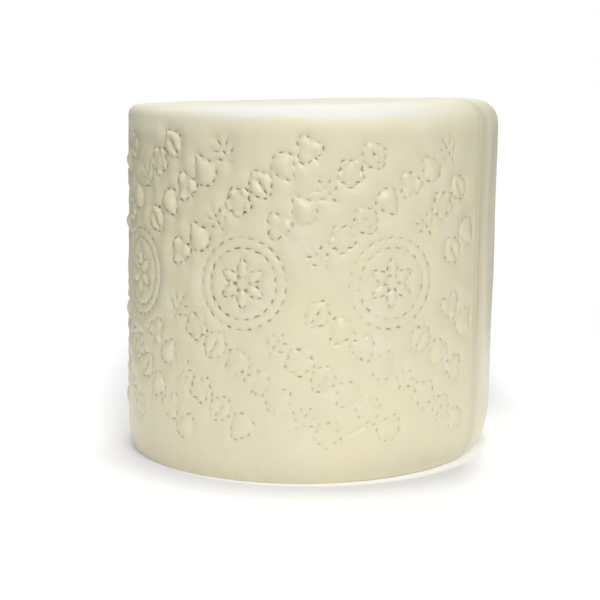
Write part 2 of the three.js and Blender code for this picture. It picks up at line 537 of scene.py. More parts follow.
@dataclass(frozen=True)
class Hollow:
    """A soft hollow in the side.

    Args:
        around: degrees round the drum of its middle.
        level: height of its middle.
        reach: distance at which it has mostly faded.
        depth: depth in its middle.
    """

    around: float
    level: float
    reach: float
    depth: float


@dataclass(frozen=True)
class DrumForm:
    """The plain drum with its slightly uneven edges, slope and lean, before any marks.

    Args:
        radius: the mean radius of the side.
        height: the height on the axis.
        taper: the share by which the base is wider and the top narrower.
        lean: the drift to the right for each millimetre of height.
        top_slope: the rise of the top for each millimetre to the right.
        rim_round: the mean radius of the top edge.
        rim_swing: the share by which the top edge is rounder at the right.
        base_in: how far the base edge draws in.
        base_up: the height over which the base edge draws in.
        base_swing: the share by which the base draws in more at the right.
        hollows: the soft hollows in the side.
        settling: how far below the top edge the side makes up for its unevenness.
        edge_steps: how many points the outline has on each rounded edge.
        survey: how many places round and up are looked at to find the drum's middle.
    """

    radius: float = 150.0
    height: float = 279.5
    taper: float = 0.005
    lean: float = 0.0174
    top_slope: float = 0.0156
    rim_round: float = 14.0
    rim_swing: float = 0.43
    base_in: float = 10.6
    base_up: float = 45.0
    base_swing: float = 0.47
    hollows: tuple[Hollow, ...] = (
        Hollow(-57, 95, 40, 1.6),
        Hollow(-36, 205, 40, 1.2),
        Hollow(34, 95, 45, 1.3),
        Hollow(118, 205, 40, 1.5),
        Hollow(-128, 95, 45, 1.4),
        Hollow(176, 150, 45, 1.2),
    )
    settling: float = 70.0
    edge_steps: int = 48
    survey: tuple[int, int] = (361, 120)

    @cached_property
    def outline(self) -> tuple[Array, Array, Array]:
        """The drum's outline from the base's flat to the top's flat.

        Returns:
            The distance travelled along it, the radius and the height, one value a point.
        """
        bend = np.linspace(0.0, math.pi / 2, self.edge_steps)
        base_radius = self.radius - self.base_in * (1 - np.sin(bend))
        base_height = self.base_up * (1 - np.cos(bend))
        rim_radius = self.radius - self.rim_round * (1 - np.cos(bend))
        rim_height = self.height - self.rim_round * (1 - np.sin(bend))
        radius = np.concatenate([base_radius, rim_radius])
        height = np.concatenate([base_height, rim_height])
        return travelled(np.stack([radius, height], axis=1)), radius, height

    @property
    def girth(self) -> float:
        """The length round the side."""
        return 2 * math.pi * self.radius

    @property
    def travel(self) -> float:
        """The length of the outline."""
        return float(self.outline[0][-1])

    @cached_property
    def lift(self) -> float:
        """What is added to a height on the side to get the distance along the outline."""
        travel, _, height = self.outline
        return float(np.interp(self.base_up, height, travel)) - self.base_up

    def hollow_depth(self, angle: Array, height: Array) -> Array:
        """The depth of the soft hollows at places on the side.

        Args:
            angle: how far round the drum each place lies, in radians.
            height: how high each place lies.

        Returns:
            The depth at each place.
        """
        depth = np.zeros_like(angle)
        for hollow in self.hollows:
            across = apart(angle, math.radians(hollow.around)) * self.radius
            distance = np.hypot(across, height - hollow.level) / hollow.reach
            depth += hollow.depth * np.exp(-distance * distance)
        return depth

    def side_point(self, across: Array, travel: Array) -> Array:
        """Points of the side and its two rounded edges.

        Args:
            across: distance round the drum from the front.
            travel: distance along the outline from the edge of the base's flat.

        Returns:
            One row of x, y and z for each place.
        """
        steps, radii, heights = self.outline
        radius = np.interp(travel, steps, radii)
        height = np.interp(travel, steps, heights)
        angle = across / self.radius
        right = np.sin(angle)
        base_draw = 1 + self.base_swing * right
        rim_draw = 1 + self.rim_swing * right
        in_base = height < self.base_up
        in_rim = height >= self.height - self.rim_round
        draw = np.where(in_base, base_draw, np.where(in_rim, rim_draw, 1.0))
        r = self.radius - (self.radius - radius) * draw
        rim_z = self.height - (self.height - height) * rim_draw + self.top_slope * r * right
        # The rows below the rim stretch a little, so that they meet its uneven start.
        below = (self.height - self.rim_round) - height
        start = self.height - self.rim_round * rim_draw + self.top_slope * r * right
        shift = start - (self.height - self.rim_round)
        settle = 1 - smoothstep(0.0, self.settling, below)
        z = np.where(in_rim, rim_z, height + shift * settle)
        r = r * (1 + self.taper * (1 - 2 * height / self.height))
        r = r - self.hollow_depth(angle, height)
        return np.stack([r * right + self.lean * z, -r * np.cos(angle), z], axis=1)

    @cached_property
    def centre_shift(self) -> float:
        """How far the middle of the drum's box lies to the right of its foot.

        Returns:
            The distance in millimetres.
        """
        around, climb = self.survey
        across = np.linspace(-self.girth / 2, self.girth / 2, around)
        places = grid_points(across, np.linspace(0.0, self.travel, climb))
        side = self.side_point(*places.T)
        return float(side[:, 0].min() + side[:, 0].max()) / 2

    def side_normal(self, across: Array, travel: Array) -> Array:
        """The outward directions of the side at places on it.

        Args:
            across: distance round the drum from the front.
            travel: distance along the outline from the edge of the base's flat.

        Returns:
            One row of x, y and z, of length 1, for each place.
        """
        step = 0.4
        low = np.clip(travel - step, 0.0, self.travel)
        high = np.clip(travel + step, 0.0, self.travel)
        along = self.side_point(across + step, travel) - self.side_point(across - step, travel)
        up = self.side_point(across, high) - self.side_point(across, low)
        out = np.cross(along, up)
        return out / np.linalg.norm(out, axis=1, keepdims=True)


# Curves of the ornaments ----------------------------------------------------------------

# How many points each curve has. Sizes are for ornaments that reach from -1 to 1.
ARC_POINTS = 25
LEAF_POINTS = 21
NUT_POINTS = 13
NUT_WIDTH = 0.68  # half the width of an acorn's nut where its cup ends
NUT_TOP = 0.15  # the height of that place


def line(x0: float, y0: float, x1: float, y1: float) -> Array:
    """A straight stroke."""
    return np.array([[x0, y0], [x1, y1]], float)


def arc(x: float, y: float, rx: float, ry: float, start: float, end: float) -> Array:
    """A stroke along part of an ellipse, between two angles in degrees."""
    a = np.radians(np.linspace(start, end, ARC_POINTS))
    return np.stack([x + rx * np.cos(a), y + ry * np.sin(a)], axis=1)


def bowed(bow: float) -> Array:
    """One side of a leaf that stands two units high."""
    t = np.linspace(0.0, 1.0, LEAF_POINTS)
    return np.stack([bow * np.sin(math.pi * t), 2 * t - 1], axis=1)


def nut_side(side: float) -> Array:
    """One side of an acorn's nut, which narrows down to its tip.

    Args:
        side: 1 for the right side and -1 for the left.

    Returns:
        The side as a path from the cup down.
    """
    t = np.linspace(0.0, 1.0, NUT_POINTS)
    across, up = side * NUT_WIDTH * np.cos(math.pi / 2 * t), NUT_TOP - (NUT_TOP + 1) * t
    return np.stack([across, up], axis=1)


def petals(count: int, distance: float = 0.5, size: float = 0.42, opening: float = 105.0) -> list[Array]:
    """The petals of a flower, as arcs round its centre.

    Args:
        count: how many petals.
        distance: distance of a petal's middle from the flower's.
        size: radius of a petal.
        opening: degrees of arc to either side of a petal's tip.

    Returns:
        One stroke for each petal.
    """
    strokes = []
    for i in range(count):
        heading = 90 + 360 / count * i
        x = distance * math.cos(math.radians(heading))
        y = distance * math.sin(math.radians(heading))
        strokes.append(arc(x, y, size, size, heading - opening, heading + opening))
    return strokes


def joined(*strokes: Array) -> Array:
    """One closed outline from strokes that follow each other."""
    return np.concatenate(strokes)


LEAF_SIDES = (bowed(0.78), bowed(-0.78))
DROP_BELLY = arc(0, -0.22, 0.8, 0.78, -165, -15)
DROP_SIDE = line(0.78, -0.1, 0.05, 1)
ACORN_CUP = arc(0, NUT_TOP, 0.84, 0.72, 178, 2)
BLOSSOM_PETALS = 5
CLOVER_LEAVES = 3
MIRROR = (-1, 1)  # what a stroke is multiplied by to get its mirror image


class Motif(Enum):
    """The small ornaments of the rows. Their unit is half an ornament's height."""

    LEAF = "leaf"
    BLOSSOM = "blossom"
    SPRIG = "sprig"
    DROP = "drop"
    CLOVER = "clover"
    ACORN = "acorn"

    def strokes(self) -> list[Array]:
        """The pressed strokes of the ornament.

        Returns:
            One path for each stroke.
        """
        low_leaf, high_leaf = line(0.16, -0.5, 0.86, 0.0), line(0.16, 0.1, 0.74, 0.56)
        return {
            Motif.LEAF: [*LEAF_SIDES, line(0, -0.8, 0, 0.35)],
            Motif.BLOSSOM: petals(BLOSSOM_PETALS),
            Motif.SPRIG: [
                line(0, -1, 0, 0.95),
                low_leaf,
                low_leaf * MIRROR,
                high_leaf,
                high_leaf * MIRROR,
            ],
            Motif.DROP: [DROP_BELLY, DROP_SIDE, DROP_SIDE * MIRROR],
            Motif.CLOVER: [*petals(CLOVER_LEAVES), line(0.02, -0.42, 0.16, -1)],
            Motif.ACORN: [ACORN_CUP, nut_side(1), nut_side(-1)],
        }[self]

    def pads(self) -> list[Array]:
        """The closed areas inside the ornament, where the rind swells a little.

        Returns:
            One outline for each area.
        """
        right, left = LEAF_SIDES
        return {
            Motif.LEAF: [joined(right, left[::-1])],
            Motif.BLOSSOM: petals(BLOSSOM_PETALS),
            Motif.SPRIG: [],
            Motif.DROP: [joined(DROP_BELLY, line(0.78, -0.1, 0, 1))],
            Motif.CLOVER: petals(CLOVER_LEAVES),
            Motif.ACORN: [joined(ACORN_CUP, nut_side(1), nut_side(-1)[::-1])],
        }[self]


# The pressed rind -----------------------------------------------------------------------


@dataclass
class Dash:
    """One short dash of a stroke, in the flat frame of the side.

    Args:
        centre: where its middle lies.
        heading: the direction of its length, in radians.
        half_length: half its length.
        half_width: half its width.
        depth: how deep it is.
    """

    centre: Array
    heading: float
    half_length: float
    half_width: float
    depth: float


@dataclass(frozen=True)
class Wear:
    """The small differences between the dashes that a worn mould presses.

    Args:
        fit: the share of a pitch that may be missing where a last dash still fits.
        reach: how far to either side of a dash its stroke's direction is taken.
        turn: the usual error of a dash's direction, in radians.
        drift: the usual error of its place.
        missing: the share of the dashes that aren't pressed.
        length: the least and the greatest share of the nominal length.
        faint_length: the share of that length which the faintest dash keeps.
        half_width: half the nominal width.
        width: the least and the greatest share of the nominal width.
        depth: the least and the greatest share of the nominal depth.
    """

    fit: float = 0.3
    reach: float = 0.8
    turn: float = 0.07
    drift: float = 0.12
    missing: float = 0.07
    length: Span = (0.75, 1.15)
    faint_length: float = 0.6
    half_width: float = 0.85
    width: Span = (0.75, 1.35)
    depth: Span = (0.4, 1.0)


@dataclass
class Ornament:
    """Strokes, pads and dashes that lie together in the flat frame of the side.

    Args:
        strokes: the paths of its strokes.
        pads: the outlines of its closed areas.
        pitch: distance from one dash to the next.
        dash_length: length of a dash.
        stitch_depth: depth of the deepest dash.
        strength: how hard it is pressed, 1 for the hardest.
        chance: the source of small differences between dashes.
        wear: how large those differences are.
        dashes: the dashes, which follow from all the rest.
    """

    strokes: list[Array]
    pads: list[Array]
    pitch: float
    dash_length: float
    stitch_depth: float
    strength: float
    chance: random.Random
    wear: Wear = Wear()
    dashes: list[Dash] = field(default_factory=list)

    def __post_init__(self) -> None:
        """Sets the dashes along every stroke."""
        for stroke in self.strokes:
            self._stitch(stroke)

    def _stitch(self, stroke: Array) -> None:
        """Sets dashes along one stroke, and misses a few as a worn mould does.

        Args:
            stroke: the path of the stroke.
        """
        wear, chance = self.wear, self.chance
        length = travelled(stroke)[-1]
        count = max(1, int(length / self.pitch + wear.fit))
        pressed = wear.faint_length + (1 - wear.faint_length) * min(1.0, self.strength)
        for i in range(count):
            at = (i + 0.5) * length / count
            before, after = (place_on(stroke, at + d) for d in (-wear.reach, wear.reach))
            run = after - before
            heading = math.atan2(run[1], run[0]) + chance.gauss(0.0, wear.turn)
            share = chance.uniform(*wear.length)
            if chance.random() < wear.missing:
                continue
            self.dashes.append(
                Dash(
                    centre=(before + after) / 2 + chance.gauss(0.0, wear.drift),
                    heading=heading,
                    half_length=self.dash_length / 2 * share * pressed,
                    half_width=wear.half_width * chance.uniform(*wear.width),
                    depth=self.stitch_depth * chance.uniform(*wear.depth),
                )
            )

    @cached_property
    def box(self) -> tuple[Array, Array]:
        """The lowest and highest corner of the strokes."""
        every = np.concatenate(self.strokes)
        return every.min(axis=0), every.max(axis=0)


def distance_to(path: Array, points: Array) -> Array:
    """The distance of each point from a path of straight stretches.

    Args:
        path: the ends of its stretches, one after another.
        points: the points, one row of two coordinates each.

    Returns:
        The shortest distance of each point.
    """
    start, run = path[:-1], np.diff(path, axis=0)
    to_point = points[:, None, :] - start
    length = np.maximum((run * run).sum(axis=1), TINY)
    share = np.clip((to_point * run).sum(axis=2) / length, 0.0, 1.0)
    return np.linalg.norm(to_point - share[..., None] * run, axis=2).min(axis=1)


def inside(outline: Array, points: Array) -> Array:
    """Whether each point lies inside a closed outline.

    Args:
        outline: the corners of the outline, in order.
        points: the points, one row of two coordinates each.

    Returns:
        True for each point that lies inside.
    """
    x, y = points[:, 0:1], points[:, 1:2]
    x0, y0 = outline.T
    x1, y1 = np.roll(outline, -1, axis=0).T
    rise = np.where(np.abs(y1 - y0) < TINY, TINY, y1 - y0)
    crosses = ((y0 > y) != (y1 > y)) & (x < (x1 - x0) * (y - y0) / rise + x0)
    return crosses.sum(axis=1) % 2 == 1


@dataclass(frozen=True)
class Row:
    """A slanting row of ornaments beside a medallion.

    Args:
        across: distance of its first ornament from the medallion's middle.
        rise: height of its first ornament above the medallion's middle.
        count: how many ornaments it has.
        way: 1 if it climbs to the right, -1 if it falls.
    """

    across: float
    rise: float
    count: int
    way: int


@dataclass(frozen=True)
class Closure:
    """Where the mould closes: two upright lines with a plain, streaked band between them.

    Args:
        start: degrees round the drum of its first line.
        end: degrees round the drum of its second line.
        line_width: half the width of a line.
        line_depth: the depth of a line.
        sink: how far the band lies below the rest of the side.
        step: how far outside and inside its lines the band's step down reaches.
        streak_depth: the depth of the deepest streaks.
        streak_width: the usual width of a streak.
        streak_length: the usual length of a streak.
        fine_share: the strength of the finer streaks.
        fine_scale: how much narrower and shorter they are.
        foot_fade: distances from the base's flat between which the closure sets in.
        top_fade: distances from the top's flat between which it ends.
        seam_middle: how far inside a line its dark seam has its middle.
        seam_width: half the width of the seam.
        sheen_reach: distances inside the lines between which the painted sheen sets in.
    """

    start: float = 58.0
    end: float = 86.0
    line_width: float = 1.2
    line_depth: float = 0.8
    sink: float = 0.5
    step: Span = (1.5, 2.5)
    streak_depth: float = 0.75
    streak_width: float = 14.0
    streak_length: float = 130.0
    fine_share: float = 0.22
    fine_scale: Span = (2.6, 2.0)
    foot_fade: Span = (6.0, 40.0)
    top_fade: Span = (4.0, 24.0)
    seam_middle: float = 3.0
    seam_width: float = 6.5
    sheen_reach: Span = (8.0, 17.0)

    def edges(self, form: DrumForm) -> tuple[float, float]:
        """The distances of the two lines round the drum from the front."""
        return math.radians(self.start) * form.radius, math.radians(self.end) * form.radius

    def relief(self, form: DrumForm, across: Array, travel: Array) -> Array:
        """How far the closure lowers the side at places on it.

        Args:
            form: the plain drum.
            across: distance of each place round the drum from the front.
            travel: distance of each place along the outline from the base's flat.

        Returns:
            The depth at each place.
        """
        near, far = self.edges(form)
        outside, within = self.step
        band = smoothstep(near - outside, near + within, across)
        band = band * smoothstep(far + outside, far - within, across)
        lines = sum(np.exp(-(((across - edge) / self.line_width) ** 2)) for edge in (near, far))
        streaks = np.zeros_like(across)
        for i in np.flatnonzero(band > 0):
            streaks[i] = self._streak(across[i] / self.streak_width, travel[i] / self.streak_length)
        low, high = self.top_fade
        ends = smoothstep(*self.foot_fade, travel)
        ends = ends * smoothstep(form.travel - low, form.travel - high, travel)
        return ends * (self.line_depth * lines + band * (self.sink + self.streak_depth * streaks))

    def _streak(self, x: float, y: float) -> float:
        """The strength of the wide and the fine streaks at a place counted in streaks.

        Args:
            x: how many streak widths it lies from the front.
            y: how many streak lengths it lies from the base's flat.

        Returns:
            Their strength, which is about as often below zero as above it.
        """
        fine_x, fine_y = self.fine_scale
        wide = noise.noise(Vector((x, y, WIDE_LAYER)))
        fine = noise.noise(Vector((fine_x * x, fine_y * y, FINE_LAYER)))
        return wide + self.fine_share * fine

    def tints(self, form: DrumForm, across: Array) -> tuple[Array, Array]:
        """How dark the rind is along the closure's lines and how much painted sheen lies between them.

        Args:
            form: the plain drum.
            across: distance of each place round the drum from the front.

        Returns:
            The share of the dark seam and the share of the painted sheen, from 0 to 1.
        """
        near, far = self.edges(form)
        within = np.minimum(across - near, far - across)
        seam = np.exp(-(((within - self.seam_middle) / self.seam_width) ** 2))
        return seam, smoothstep(*self.sheen_reach, within)


@dataclass(frozen=True)
class Fold:
    """A shallow crease of the rind with a low ridge on either side.

    Args:
        path: distance from the front and height of each of its corners.
        strength: how strong it is, 1 for the strongest.
        depth: the depth of the crease.
        ridge: the height of its ridges.
        width: half the width of the crease.
        ridge_middle: how many of those widths from the crease a ridge has its middle.
        ridge_width: how many of those widths half a ridge measures.
    """

    path: tuple[tuple[float, float], ...]
    strength: float
    depth: float = 0.75
    ridge: float = 0.45
    width: float = 1.1
    ridge_middle: float = 2.2
    ridge_width: float = 1.4

    def away(self, form: DrumForm, flat: Array) -> Array:
        """The distance of places in the side's flat frame from the crease."""
        return distance_to(np.array(self.path) + (0.0, form.lift), flat)

    def relief(self, form: DrumForm, flat: Array) -> Array:
        """How far the fold lowers the side.

        Args:
            form: the plain drum.
            flat: one row of across and travel for each place.

        Returns:
            The depth at each place, below zero on the ridges.
        """
        away = self.away(form, flat) / self.width
        crease = self.depth * np.exp(-(away**2))
        ridges = self.ridge * np.exp(-(((away - self.ridge_middle) / self.ridge_width) ** 2))
        return self.strength * (crease - ridges)


@dataclass(frozen=True)
class Pressure:
    """How hard the mould pressed, from the foot to the top and from left to right.

    Args:
        low: the height up to which it pressed faintly.
        high: the height from which it pressed its hardest.
        least: its strength low down.
        gain: what the strength gains on the way up.
        turn: the share that it loses from the front to the right.
        spread: the least and the greatest share of that at any one place.
    """

    low: float = 40.0
    high: float = 235.0
    least: float = 0.50
    gain: float = 0.55
    turn: float = 0.24
    spread: Span = (0.82, 1.12)

    def at(self, around: float, height: float, chance: random.Random) -> float:
        """The strength at one place.

        Args:
            around: how far round the drum it lies, in radians.
            height: how high it lies.
            chance: the source of small differences.

        Returns:
            The strength, about 1 where the mould pressed hard.
        """
        climb = float(smoothstep(self.low, self.high, np.array(height)))
        strength = (self.least + self.gain * climb) * (1.0 - self.turn * math.sin(around))
        return strength * chance.uniform(*self.spread)


@dataclass
class PressedRind:
    """The ornaments that the mould presses into the side, laid out in its flat frame.

    Args:
        form: the plain drum.
        closure: the place where the mould closes.
        pressure: how hard the mould pressed.
        medallions: how many medallions there are.
        medallion_step: degrees from one to the next.
        first_medallion: degrees round the drum of the first.
        belt_height: the height of their middles.
        ring_radii: the radii of their dashed rings.
        rosette_radius: the radius of the rosette in their middle.
        rosette_petals: how many petals it has.
        petal_start: the share of the radius at which a petal starts.
        petal_bow: how far a petal's side bows out.
        petal_belly: below 1 where the petal is widest nearer to the middle.
        petal_steps: how many points a petal's side has.
        row_slope: degrees by which the rows of marks rise or fall.
        mark_pitch: the distance from mark to mark in a row.
        mark_size: the size of a mark.
        mark_scale: the least and the greatest share of that size.
        mark_turn: the usual error of a mark's direction, in radians.
        motif_steps: how many motifs on the next mark and the next row are.
        mark_stitch: the pitch and the length of the dashes in a mark.
        ring_stitch: the same for the rings.
        rosette_stitch: the same for the rosettes.
        stitch_depth: the depth of the deepest dash.
        dash_edge: the shares of a dash's reach between which its depth runs out.
        faint_depth: the share of the depth that is there however faint the pressure.
        faint_colour: the share of a dash's painted shade that is there however faint the pressure.
        bed_depth: the depth of the soft bed round the strokes.
        bed_width: half its width.
        bed_reach: how many of those half widths from a stroke the relief is worked out.
        groove_depth: the depth of the groove under the dashes.
        groove_width: half its width.
        pad_height: how far the pads inside the ornaments swell.
        pad_edge: the width over which they do so.
        rows: the rows of marks between two medallions.
        folds: the small folds near the foot.
        seed: the start of the random draws.
    """

    form: DrumForm = field(default_factory=DrumForm)
    closure: Closure = field(default_factory=Closure)
    pressure: Pressure = Pressure()
    medallions: int = 7
    medallion_step: float = 43.7
    first_medallion: float = 23.7
    belt_height: float = 150.0
    ring_radii: tuple[float, ...] = (34.0, 26.5)
    rosette_radius: float = 19.5
    rosette_petals: int = 6
    petal_start: float = 0.16
    petal_bow: float = 4.2
    petal_belly: float = 0.85
    petal_steps: int = 15
    row_slope: float = 36.0
    mark_pitch: float = 21.8
    mark_size: float = 12.0
    mark_scale: Span = (0.95, 1.04)
    mark_turn: float = 0.03
    motif_steps: tuple[int, int] = (5, 2)
    mark_stitch: Span = (6.2, 3.9)
    ring_stitch: Span = (8.3, 4.9)
    rosette_stitch: Span = (6.8, 4.2)
    stitch_depth: float = 1.7
    dash_edge: Span = (0.2, 1.12)
    faint_depth: float = 0.45
    faint_colour: float = 0.5
    bed_depth: float = 1.3
    bed_width: float = 6.0
    bed_reach: float = 2.2
    groove_depth: float = 0.5
    groove_width: float = 2.8
    pad_height: float = 1.6
    pad_edge: float = 3.0
    rows: tuple[Row, ...] = (
        Row(57, 21, 7, 1),
        Row(27, 43, 5, 1),
        Row(57, -21, 8, -1),
        Row(27, -43, 6, -1),
    )
    folds: tuple[Fold, ...] = (
        Fold(((27, 38), (38, 43), (46, 47), (55, 53)), 1.0),
        Fold(((44, 58), (54, 59), (63, 60)), 0.5),
    )
    seed: int = 11

    @cached_property
    def ornaments(self) -> list[Ornament]:
        """Every medallion and every mark of the rows.

        Returns:
            The ornaments, each with its dashes.
        """
        chance = random.Random(self.seed)
        made: list[Ornament] = []
        for i in range(-1, self.medallions):
            around = math.radians(self.first_medallion - i * self.medallion_step)
            across = around * self.form.radius
            # The closure lies where the medallion before the first would be.
            if i >= 0:
                made.extend(self._medallion(across, chance))
            for number, row in enumerate(self.rows):
                made.extend(self._row(across, row, number + i, chance))
        return made

    def _medallion(self, across: float, chance: random.Random) -> list[Ornament]:
        """Two dashed rings round a rosette of pointed petals.

        Args:
            across: distance of its middle round the drum from the front.
            chance: the source of small differences.

        Returns:
            The rings as one ornament and the rosette as another.
        """
        middle = np.array([across, self.belt_height + self.form.lift])
        strength = self.pressure.at(across / self.form.radius, self.belt_height, chance)
        rings = [arc(0, 0, r, r, 0, 360) + middle for r in self.ring_radii]
        petal_strokes, pads = [], []
        for i in range(self.rosette_petals):
            turn = 2 * math.pi * i / self.rosette_petals
            sides = [self._petal_side(bow, turn) + middle for bow in (self.petal_bow, -self.petal_bow)]
            petal_strokes.extend(sides)
            pads.append(joined(sides[0], sides[1][::-1]))
        return [
            Ornament(rings, [], *self.ring_stitch, self.stitch_depth, strength, chance),
            Ornament(petal_strokes, pads, *self.rosette_stitch, self.stitch_depth, strength, chance),
        ]

    def _petal_side(self, bow: float, turn: float) -> Array:
        """One side of a rosette petal, from near the middle outwards.

        Args:
            bow: how far it bows to the right, or to the left if below zero.
            turn: the petal's direction from straight up, in radians.

        Returns:
            The side as a path round the rosette's middle.
        """
        t = np.linspace(0.0, 1.0, self.petal_steps)
        out = self.rosette_radius * (self.petal_start + (1 - self.petal_start) * t)
        aside = bow * np.sin(math.pi * t**self.petal_belly)
        return turned(np.stack([aside, out], axis=1), turn)

    def _row(self, centre: float, row: Row, number: int, chance: random.Random) -> list[Ornament]:
        """The ornaments of one slanting row that keep off the closure.

        Args:
            centre: distance round the drum to the middle of the medallion before the row.
            row: where the row starts and how it runs.
            number: a number of its own, which shifts its motifs.
            chance: the source of small differences.

        Returns:
            Its ornaments in order.
        """
        motifs = list(Motif)
        step_on, row_on = self.motif_steps
        turn = math.radians(self.row_slope) * row.way
        made = []
        for i in range(row.count):
            across = centre + row.across + i * self.mark_pitch * math.cos(turn)
            height = self.belt_height + row.rise + i * self.mark_pitch * math.sin(turn)
            if not self._clear_of_closure(across):
                continue
            motif = motifs[(i * step_on + number * row_on) % len(motifs)]
            middle = np.array([across, height + self.form.lift])
            size = self.mark_size * chance.uniform(*self.mark_scale)
            lay = turn + chance.gauss(0.0, self.mark_turn)
            made.append(
                Ornament(
                    [turned(s * size, lay) + middle for s in motif.strokes()],
                    [turned(p * size, lay) + middle for p in motif.pads()],
                    *self.mark_stitch,
                    self.stitch_depth,
                    self.pressure.at(across / self.form.radius, height, chance),
                    chance,
                )
            )
        return made

    def _clear_of_closure(self, across: float) -> bool:
        """Whether an ornament keeps off the plain band of the closure.

        Args:
            across: distance of its middle round the drum from the front.

        Returns:
            True if it does.
        """
        near, far = self.closure.edges(self.form)
        place = across % self.form.girth
        return place < near - self.mark_size or place > far + self.mark_size

    def press(self, flat: Array) -> tuple[Array, Array, Array]:
        """The relief of the side at places in its flat frame.

        Args:
            flat: one row of across and travel for each place.

        Returns:
            How far the surface sinks, how much of a dash it is and how much of a groove.
        """
        sink, deepest, pit, groove = (np.zeros(len(flat)) for _ in range(4))
        margin = self.bed_reach * self.bed_width
        for ornament in self.ornaments:
            low, high = ornament.box
            for turn in (-self.form.girth, 0.0, self.form.girth):
                moved = flat + (turn, 0.0)
                near = np.flatnonzero(((moved > low - margin) & (moved < high + margin)).all(axis=1))
                if near.size:
                    self._press_one(ornament, moved[near], near, sink, deepest, pit, groove)
        sink += deepest
        sink += self.closure.relief(self.form, flat[:, 0] % self.form.girth, flat[:, 1])
        for fold in self.folds:
            sink += fold.relief(self.form, flat)
        return sink, pit, groove

    def _press_one(
        self,
        ornament: Ornament,
        points: Array,
        rows: Array,
        sink: Array,
        deepest: Array,
        pit: Array,
        groove: Array,
    ) -> None:
        """Adds one ornament's relief to the arrays.

        Args:
            ornament: the ornament.
            points: the mesh points near it, in its own frame.
            rows: their numbers in the arrays.
            sink: how far the surface sinks.
            deepest: the depth of the soft bed.
            pit: how much of a dash each point is.
            groove: how much of a groove it is.
        """
        nearest = np.min([distance_to(s, points) for s in ornament.strokes], axis=0)
        trough = np.exp(-((nearest / self.groove_width) ** 2))
        bed = np.exp(-((nearest / self.bed_width) ** 2))
        swell = np.zeros(len(points))
        rounded = 1 - np.exp(-((nearest / self.pad_edge) ** 2))
        for pad in ornament.pads:
            swell = np.maximum(swell, inside(pad, points) * rounded)
        depth = np.zeros(len(points))
        for dash in ornament.dashes:
            local = turned(points - dash.centre, -dash.heading)
            reach = np.hypot((local[:, 0] / dash.half_length) ** 2, local[:, 1] / dash.half_width)
            share = 1 - smoothstep(*self.dash_edge, reach)
            depth = np.maximum(depth, share * dash.depth)
        strength = ornament.strength
        cut = self.faint_depth + (1 - self.faint_depth) * strength
        dark = self.faint_colour + (1 - self.faint_colour) * strength
        sink[rows] += strength * (self.groove_depth * trough - self.pad_height * swell)
        deepest[rows] = np.maximum(deepest[rows], strength * self.bed_depth * bed)
        sink[rows] += cut * depth
        # The pit mask also sets the painted shade at the bottom of the dash.
        pit[rows] = np.maximum(pit[rows], dark * depth / self.stitch_depth)
        groove[rows] = np.maximum(groove[rows], strength * trough)


# Meshes ---------------------------------------------------------------------------------


def mesh_from(name: str, vertices: Array, faces: Array) -> bpy.types.Mesh:
    """A smooth-shaded triangle mesh.

    Args:
        name: the mesh's name.
        vertices: one row of x, y and z in metres for each vertex.
        faces: one row of three vertex numbers for each triangle.

    Returns:
        The new mesh.
    """
    mesh = bpy.data.meshes.new(name)
    mesh.vertices.add(len(vertices))
    mesh.vertices.foreach_set("co", vertices.astype(np.float32).ravel())
    mesh.loops.add(faces.size)
    mesh.loops.foreach_set("vertex_index", faces.astype(np.int32).ravel())
    mesh.polygons.add(len(faces))
    mesh.polygons.foreach_set("loop_start", np.arange(0, faces.size, 3, dtype=np.int32))
    mesh.update(calc_edges=True)
    mesh.validate()
    mesh.shade_smooth()
    return mesh


def triangles(points: Array) -> Array:
    """The Delaunay triangles of points in a plane, as rows of three point numbers."""
    result = delaunay_2d_cdt([Vector(p) for p in points], [], [], 0, SAME_POINT, False)
    return np.array(result[2], int)


def spaced(points: Array, taken: Array, gap: float) -> Array:
    """The points that keep a gap from others that were set before them.

    Args:
        points: the points to choose from, one row of two coordinates each.
        taken: the points that were set before.
        gap: the least distance between the two.

    Returns:
        The points that are kept.
    """
    tree = kdtree.KDTree(len(taken))
    for i, (x, y) in enumerate(taken):
        tree.insert((x, y, 0.0), i)
    tree.balance()
    clear = [tree.find((x, y, 0.0))[2] > gap for x, y in points]
    return points[np.array(clear, bool)]


def thinned(points: Array, cell: float) -> Array:
    """The points with only the first kept in each small cell.

    Args:
        points: the points, one row of two coordinates each.
        cell: the side of a cell.

    Returns:
        The points that are kept, in their order.
    """
    cells = np.round(points / cell).astype(int)
    _, first = np.unique(cells, axis=0, return_index=True)
    return points[np.sort(first)]


